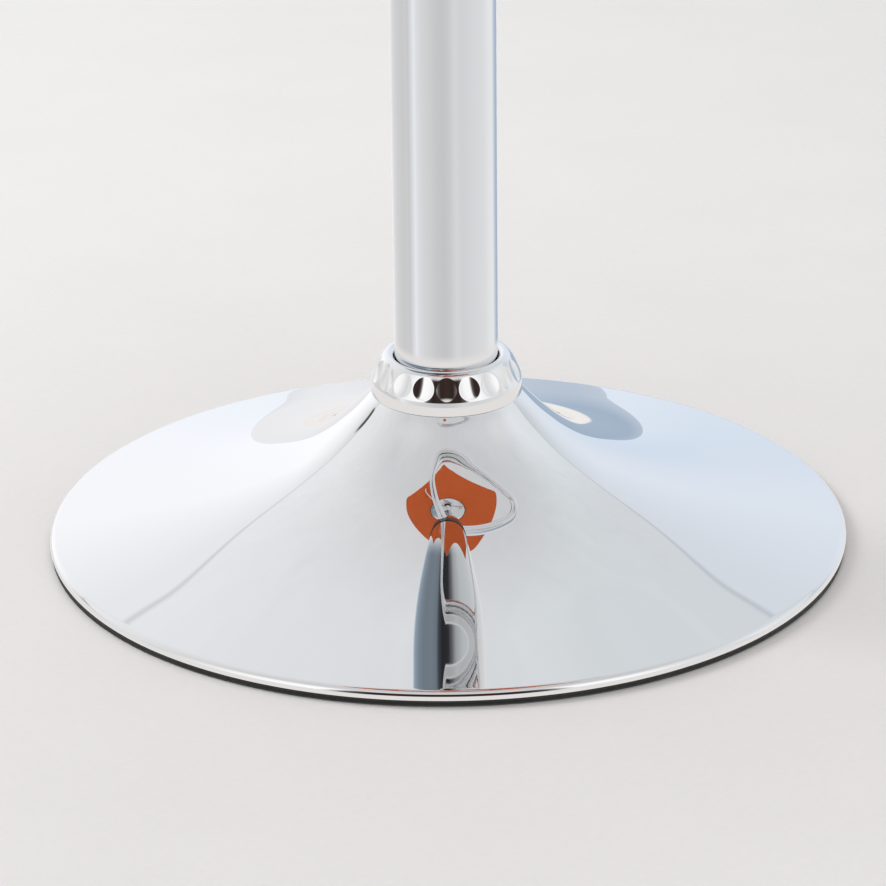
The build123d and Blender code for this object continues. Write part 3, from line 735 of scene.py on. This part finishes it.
arm_len = (LR - LC) * math.cos(math.radians(delta))
pts = [fl(r, LH) for r in np.concatenate([np.linspace(20.0, 30.0, 14), np.linspace(33.0, arm_len, 18)])]
c1 = fl(LR - LC, ca)
for k in range(1, 17):                       # corner from the arm to the front bar
    m_ = math.radians(LH + 90 - (90 + delta) * k / 16)
    pts.append(Vector((c1.x + LC / 1000 * math.sin(m_), c1.y - LC / 1000 * math.cos(m_), 0.344)))
for k in range(1, 64):
    pts.append(fl(LR, ca - 2 * ca * k / 64))
half_n = len(pts)
mirror = [Vector((-q.x, q.y, q.z)) for q in reversed(pts[: half_n - 63])]
pts = pts + mirror


def loop_r(i):
    q = pts[i]
    d = math.hypot(q.x, q.y) * 1000 - 24.0
    f = min(1.0, max(0.0, 1 - d / 3.2))
    return (8.0 + 1.45 * f * f) / 1000 if i < 20 or i > len(pts) - 21 else 0.008


loop = sweep("footrest_bar", pts, 0.008, MAT["chrome"], "base", segs=48, rad=loop_r, sharp=40)
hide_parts("footrest_loop")

# ------------------------------------------------------------------ gas cylinder
cyl_prof = [(12.4, 255.0), (13.2, 255.0), (13.8, 255.3), (14.0, 255.9), (14.0, 400.0), (14.0, 520.0), (14.0, 640.0), (12.8, 688.0), (11.4, 688.0), (11.4, 645.0), (12.4, 643.0)]
cyl = lathe("gas_lift_cylinder", cyl_prof, MAT["chrome"], "seat", segs=128, sharp=30)
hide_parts("gas_cylinder")

# ------------------------------------------------------------------ seat
SEAT_HALF = [
    (200.5, 0.0), (199.5, 35.0), (196.5, 70.0), (191.5, 105.0), (184.5, 135.0), (179.9, 154.5), (175.9, 171.2), (172.4, 177.2),
    (166.3, 180.2), (150.0, 183.0), (116.0, 186.8), (60.0, 187.5), (10.0, 184.5), (-44.0, 177.5), (-90.0, 168.0), (-104.7, 164.9),
    (-110.6, 162.2), (-114.6, 157.0), (-120.0, 145.0), (-130.0, 122.5), (-139.5, 100.0), (-147.5, 70.0), (-152.2, 35.0), (-153.5, 0.0),
]
knots = [(s, -f) for f, s in SEAT_HALF] + [(-s, -f) for f, s in reversed(SEAT_HALF[1:-1])]


def closed_curve(ks, n):
    """Even samples of a smooth closed curve through points."""
    wide = ks[-6:] + ks + ks[:7]
    sm = np.array(spline(wide, None, None, 12))
    a, b = 6 * 12, (6 + len(ks)) * 12
    sm = sm[a:b + 1]
    s = np.concatenate([[0], np.cumsum(np.linalg.norm(np.diff(sm, axis=0), axis=1))])
    q = np.linspace(0, s[-1], n, endpoint=False)
    return np.stack([np.interp(q, s, sm[:, k]) for k in (0, 1)], 1)


NS = 240
rim0 = closed_curve(knots, NS)
tn = np.roll(rim0, -1, 0) - np.roll(rim0, 1, 0)
tn /= np.linalg.norm(tn, axis=1)[:, None]
nrm0 = np.stack([tn[:, 1], -tn[:, 0]], 1)
if ((rim0 + nrm0) ** 2).sum() < (rim0 ** 2).sum():
    nrm0 = -nrm0
mid = np.array((0.0, -22.0))


def ring_at(off, z, shrink=1.0):
    q = (rim0 + nrm0 * off - mid) * shrink + mid
    return [(x / 1000, y / 1000, z / 1000) for x, y in q]


rings = [ring_at(-60, 705.6, 0.55), ring_at(-30, 705.6, 0.9), ring_at(-4.0, 705.1), ring_at(-0.9, 704.9), ring_at(-0.3, 706.0), ring_at(-0.3, 712.0), ring_at(-0.9, 719.0), ring_at(-2.2, 728.0), ring_at(-3.0, 745.0), ring_at(-4.0, 757.0),
         ring_at(-7.0, 764.0), ring_at(-12.5, 767.3), ring_at(-30.0, 769.0, 0.97), ring_at(-60, 770.0, 0.72)]
verts = [v for rg in rings for v in rg]
faces = []
for i in range(len(rings) - 1):
    for k in range(NS):
        k2 = (k + 1) % NS
        faces.append((i * NS + k, i * NS + k2, (i + 1) * NS + k2, (i + 1) * NS + k))
faces.append(tuple(reversed(range(NS))))
faces.append(tuple((len(rings) - 1) * NS + k for k in range(NS)))


def apply_all(o):
    dg = bpy.context.evaluated_depsgraph_get()
    me = bpy.data.meshes.new_from_object(o.evaluated_get(dg))
    o.modifiers.clear()
    old = o.data
    o.data = me
    bpy.data.meshes.remove(old)


cush = mesh_object("seat_cushion", verts, faces, MAT["orange_leather"], "seat")
bm = bmesh.new()
bm.from_mesh(cush.data)
bmesh.ops.recalc_face_normals(bm, faces=bm.faces)
bm.to_mesh(cush.data)
bm.free()
rm = cush.modifiers.new("remesh", "REMESH")
rm.mode = "VOXEL"
rm.voxel_size = 0.0055
apply_all(cush)
co = np.array([v.co for v in cush.data.vertices])
start_co = co.copy()

vg = cush.vertex_groups.new(name="held")
for i, (x, y, z) in enumerate(co):
    if z < 0.7205:
        vg.add([i], 1.0, "REPLACE")
cl = cush.modifiers.new("cloth", "CLOTH")
st = cl.settings
st.quality = 6
st.mass = 0.25
st.tension_stiffness = 14
st.compression_stiffness = 14
st.shear_stiffness = 6
st.bending_stiffness = 1.2
st.use_pressure = True
st.uniform_pressure_force = 4.0
st.vertex_group_mass = "held"
st.effector_weights.gravity = 0.0
cl.point_cache.frame_start = 1
cl.point_cache.frame_end = 20
for f in range(1, 21):
    scene.frame_set(f)
apply_all(cush)
scene.frame_set(1)
now = np.array([v.co for v in cush.data.vertices])
mv = now - start_co
# even out the swelling so that only broad, soft folds are left
ends = np.empty(len(cush.data.edges) * 2, dtype=np.int64)
cush.data.edges.foreach_get("vertices", ends)
ends = ends.reshape(-1, 2)
count = np.maximum(np.bincount(ends.ravel(), minlength=len(mv)), 1)[:, None]
for _ in range(14):
    acc = np.zeros_like(mv)
    np.add.at(acc, ends[:, 0], mv[ends[:, 1]])
    np.add.at(acc, ends[:, 1], mv[ends[:, 0]])
    mv = 0.45 * mv + 0.55 * acc / count
ln = np.linalg.norm(mv, axis=1)
CAP = 0.012
k = np.where(ln > CAP, CAP / np.maximum(ln, 1e-9), 1.0)
now = start_co + mv * k[:, None]
now[:, 2] = np.clip(now[:, 2], 0.7046, 0.7830)
cush.data.vertices.foreach_set("co", now.astype(np.float32).ravel())
cush.data.update()
ss = cush.modifiers.new("sub", "SUBSURF")
ss.levels = ss.render_levels = 1
apply_all(cush)
cush.data.shade_smooth()
co = np.array([v.co for v in cush.data.vertices])
print("cushion box", co.min(0), co.max(0))


def edge_dist(x, y):
    """Distance in mm inside the seat outline, and the nearest sample."""
    d = np.hypot(rim0[:, 0] - x * 1000, rim0[:, 1] - y * 1000)
    k = int(d.argmin())
    return d[k], k


me = cush.data
no = np.array([v.normal for v in me.vertices])
xy = co[:, :2] * 1000
d2 = np.sqrt(((xy[:, None, :] - rim0[None, ::2, :]) ** 2).sum(2)).min(1)
inset_seam = 34.0
# shallow valleys: the seam round the top panel and the two that cross it
valley = np.zeros(len(co))
top = co[:, 2] > 0.748
g1 = np.exp(-((d2 - inset_seam) / 3.2) ** 2)
inside = d2 > inset_seam - 2
g2 = np.exp(-(np.abs(xy[:, 0]) - 0.0) ** 2 / 3.2 ** 2) * inside
g3 = np.exp(-(xy[:, 1] + 22.0) ** 2 / 3.2 ** 2) * inside
valley = np.where(top, np.maximum(np.maximum(g1, g2), g3), 0.0)
# the cover is pulled tight over the board's edge
near = np.sqrt(((xy[:, None, :] - rim0[None, :, :]) ** 2).sum(2)).argmin(1)
off = ((xy - rim0[near]) * nrm0[near]).sum(1)
tight = np.clip((0.7225 - co[:, 2]) / 0.004, 0.0, 1.0) * (off > -3.6)
co[:, :2] += nrm0[near] * ((-0.2 - off) * tight / 1000)[:, None]
co2 = co - no * (valley * 0.0030)[:, None]
me.vertices.foreach_set("co", co2.astype(np.float32).ravel())
me.update()
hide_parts("seat_cover")

# foam core under the cover
foam_co = co2 - no * 0.0026
foam_me = cush.data.copy()
foam_me.name = "foam_core"
foam_me.vertices.foreach_set("co", foam_co.astype(np.float32).ravel())
fo = bpy.data.objects.new("foam_core", foam_me)
COL.objects.link(fo)
foam_me.materials.clear()
foam_me.materials.append(MAT["foam"])
fz = np.array([v.co for v in foam_me.vertices])
fz[:, 2] = np.maximum(fz[:, 2], 0.7174)
foam_me.vertices.foreach_set("co", fz.astype(np.float32).ravel())
foam_me.update()
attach(fo, "seat")
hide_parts("seat_foam")

# stitches and piping, laid on the finished cushion
bvh = BVHTree.FromPolygons([tuple(v) for v in co2], [tuple(q.vertices) for q in me.polygons])


def on_top(x, y):
    hit = bvh.ray_cast(Vector((x, y, 0.9)), Vector((0, 0, -1)))
    return hit[0], hit[1]


def stitches(name, line, pitch=0.0042, length=0.0030, rad=0.00036):
    """Row of short thread loops along a line of (x, y) on the top panel."""
    seg = [0.0]
    for a, b in zip(line, line[1:]):
        seg.append(seg[-1] + math.hypot(b[0] - a[0], b[1] - a[1]))
    verts, faces = [], []
    s = pitch / 2
    sx = [q[0] for q in line]
    sy = [q[1] for q in line]
    K = 6
    while s + length < seg[-1]:
        ptsl = []
        for u in np.linspace(0, 1, 5):
            q = s + length * u
            x, y = np.interp(q, seg, sx), np.interp(q, seg, sy)
            h, nn = on_top(x, y)
            if h is None:
                ptsl = []
                break
            lift = 0.0003 * math.sin(math.pi * u) - 0.0001
            ptsl.append(h + nn * lift)
        if ptsl:
            base = len(verts)
            for i, q in enumerate(ptsl):
                t = (ptsl[min(i + 1, 4)] - ptsl[max(i - 1, 0)]).normalized()
                n1 = Vector((0, 0, 1)) - t * t.z
                n1.normalize()
                n2 = t.cross(n1)
                r = rad * (0.55 if i in (0, 4) else 1.0)
                for k_ in range(K):
                    a = 2 * math.pi * k_ / K
                    verts.append(q + (n1 * math.cos(a) + n2 * math.sin(a)) * r)
            for i in range(4):
                for k_ in range(K):
                    k2 = (k_ + 1) % K
                    faces.append((base + i * K + k_, base + i * K + k2, base + (i + 1) * K + k2, base + (i + 1) * K + k_))
            faces.append(tuple(base + k_ for k_ in reversed(range(K))))
            faces.append(tuple(base + 4 * K + k_ for k_ in range(K)))
        s += pitch
    return mesh_object(name, verts, faces, MAT["thread"], "seat")


loop_line = [(x / 1000, y / 1000) for x, y in rim0 + nrm0 * -(inset_seam + 4.5)]
loop_line.append(loop_line[0])
stitches("top_stitching_round", loop_line)
ys = [q[1] for q in loop_line]
xs = [q[0] for q in loop_line]
for sgn, tag in ((-1, "left"), (1, "right")):
    stitches("cross_stitching_" + tag, [(sgn * 0.0045, y) for y in np.linspace(min(ys) + 0.004, max(ys) - 0.004, 60)])

# bottom piping
pip = []
for i in range(NS):
    x, y = rim0[i] + nrm0[i] * 0.2
    o_ = Vector(((x + nrm0[i][0] * 30) / 1000, (y + nrm0[i][1] * 30) / 1000, 0.7085))
    h = bvh.ray_cast(o_, Vector((-nrm0[i][0], -nrm0[i][1], 0)))
    rr_ = h[0] if h[0] is not None else Vector((x / 1000, y / 1000, 0.7085))
    pip.append((rr_.x - nrm0[i][0] * 0.0004, rr_.y - nrm0[i][1] * 0.0004, 0.7072))
pp = np.array(pip)
for _ in range(6):
    pp = (np.roll(pp, 1, 0) + 2 * pp + np.roll(pp, -1, 0)) / 4
pipe = sweep("seat_edge_piping", [tuple(q) for q in pp], 0.0022, MAT["orange_leather"], "seat", segs=14, closed=True)
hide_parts("seat_piping")
